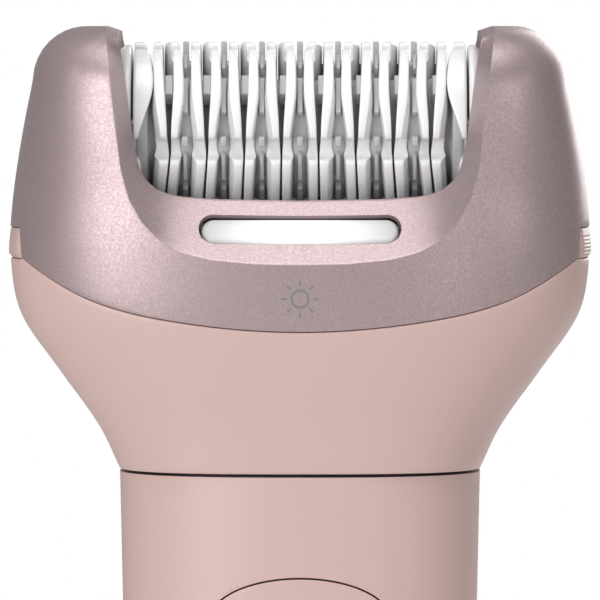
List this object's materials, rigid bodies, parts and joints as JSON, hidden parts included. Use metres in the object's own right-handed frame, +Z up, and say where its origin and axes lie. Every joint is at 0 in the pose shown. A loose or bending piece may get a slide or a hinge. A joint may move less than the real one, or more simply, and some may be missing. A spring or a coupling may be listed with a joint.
{
  "type": "epilator",
  "caption": "Hand-held epilator standing upright: curved pink handle, wide lift-off head, saddle-shaped mauve cap and a barrel of white tweezer discs.",
  "frame": {"origin": "centre of the flat base, under the neck", "axes": "+Z up along the handle, front faces -Y, +X to the right"},
  "size_m": [0.0662, 0.036, 0.17],
  "materials": {
    "cap_mauve": "satin mauve lacquer with a fine metallic grain",
    "housing_pink": "satin pink",
    "handle_pink": "satin pink",
    "tab_pink": "satin, ribbed",
    "button_pink": "satin",
    "lens_opal": "opal, glossy",
    "disc_ceramic": "white, polished",
    "hub_grey": "satin",
    "seal_black": "matt",
    "dark_plastic": "matt",
    "chassis_grey": "matt",
    "gear_white": "satin acetal",
    "steel": "ground",
    "motor_steel": "zinc plated",
    "spring_steel": "drawn wire",
    "bronze": "sintered",
    "magnet_grey": "ferrite",
    "battery_wrap": "heat-shrink wrap",
    "board_green": "solder mask"
  },
  "bodies": {
    "handle": {"handle_front_shell": "handle_pink", "handle_rear_shell": "handle_pink", "front_panel": "handle_pink", "indicator_lens": "lens_opal", "base_cap": "handle_pink", "neck_collar": "dark_plastic", "neck_seal": "seal_black", "button_membrane": "seal_black", "tact_switch": "dark_plastic", "release_spring": "spring_steel", "motor_can": "motor_steel", "motor_end_bell": "dark_plastic", "motor_bush": "bronze", "motor_magnets": "magnet_grey", "motor_mount": "dark_plastic", "motor_screws": "steel", "battery_cell": "battery_wrap", "battery_contacts": "bronze", "circuit_board": "board_green", "charging_socket": "dark_plastic", "handle_chassis": "chassis_grey"},
    "power_key": {"power_button": "button_pink"},
    "release_key": {"release_button": "button_pink"},
    "motor_rotor": {"motor_shaft": "steel", "motor_armature": "motor_steel", "motor_coupling": "gear_white"},
    "head": {"head_housing": "housing_pink", "head_base": "dark_plastic", "head_chassis": "chassis_grey", "shaft_bushes": "bronze", "idler_pin": "steel", "drive_bush": "bronze", "head_screws": "steel", "light_board": "board_green", "tab_spring_left": "spring_steel", "tab_spring_right": "spring_steel"},
    "drive": {"drive_shaft": "steel", "coupling_socket": "gear_white", "drive_pinion": "gear_white"},
    "cross": {"cross_shaft": "steel", "crown_gear": "gear_white", "cross_gear": "gear_white"},
    "idler": {"idler_gear": "gear_white"},
    "barrel": {"barrel_axle": "steel", "barrel_hub": "hub_grey", "barrel_gear": "gear_white", "end_disc_left": "disc_ceramic", "end_disc_right": "disc_ceramic", "tweezer_pair_1": "disc_ceramic", "tweezer_pair_2": "disc_ceramic", "tweezer_pair_3": "disc_ceramic", "tweezer_pair_4": "disc_ceramic", "tweezer_pair_5": "disc_ceramic", "tweezer_pair_6": "disc_ceramic", "tweezer_pair_7": "disc_ceramic", "tweezer_pair_8": "disc_ceramic"},
    "cap": {"cap_shell": "cap_mauve", "light_lens": "lens_opal"},
    "tab_left": {"side_tab_left": "tab_pink"},
    "tab_right": {"side_tab_right": "tab_pink"}
  },
  "joints": [
    {"name": "power_press", "type": "slide", "parent": "handle", "child": "power_key", "axis": [0, 1, 0], "range_m": [0, 0.0008], "stiffness_N_per_m": 700, "springref_m": -0.0012},
    {"name": "release_press", "type": "slide", "parent": "handle", "child": "release_key", "axis": [0, -1, 0], "range_m": [0, 0.0015], "stiffness_N_per_m": 500, "springref_m": -0.0015, "deforming": ["release_spring"]},
    {"name": "motor_spin", "type": "hinge", "parent": "handle", "child": "motor_rotor", "pos_m": [0, 0, 0.1], "axis": [0, 0, 1], "continuous": true},
    {"name": "head_lift", "type": "slide", "parent": "handle", "child": "head", "axis": [0, 0, 1], "range_m": [0, 0.02]},
    {"name": "drive_spin", "type": "hinge", "parent": "head", "child": "drive", "pos_m": [0, 0, 0.12], "axis": [0, 0, 1], "continuous": true},
    {"name": "cross_spin", "type": "hinge", "parent": "head", "child": "cross", "pos_m": [0, 0, 0.1378], "axis": [1, 0, 0], "continuous": true},
    {"name": "idler_spin", "type": "hinge", "parent": "head", "child": "idler", "pos_m": [0, 0, 0.1468], "axis": [1, 0, 0], "continuous": true},
    {"name": "barrel_spin", "type": "hinge", "parent": "head", "child": "barrel", "pos_m": [0, 0, 0.1582], "axis": [1, 0, 0], "continuous": true},
    {"name": "cap_lift", "type": "slide", "parent": "head", "child": "cap", "axis": [0, 0, 1], "range_m": [0, 0.036]},
    {"name": "tab_left_press", "type": "slide", "parent": "head", "child": "tab_left", "axis": [1, 0, 0], "range_m": [0, 0.0008], "stiffness_N_per_m": 500, "springref_m": -0.0012, "deforming": ["tab_spring_left"]},
    {"name": "tab_right_press", "type": "slide", "parent": "head", "child": "tab_right", "axis": [-1, 0, 0], "range_m": [0, 0.0008], "stiffness_N_per_m": 500, "springref_m": -0.0012, "deforming": ["tab_spring_right"]}
  ],
  "couplings": [
    {"joint": "idler_spin", "follows": "barrel_spin", "ratio": -1.375},
    {"joint": "cross_spin", "follows": "barrel_spin", "ratio": 1.5714},
    {"joint": "drive_spin", "follows": "barrel_spin", "ratio": 3.1429},
    {"joint": "motor_spin", "follows": "barrel_spin", "ratio": 3.1429}
  ]
}
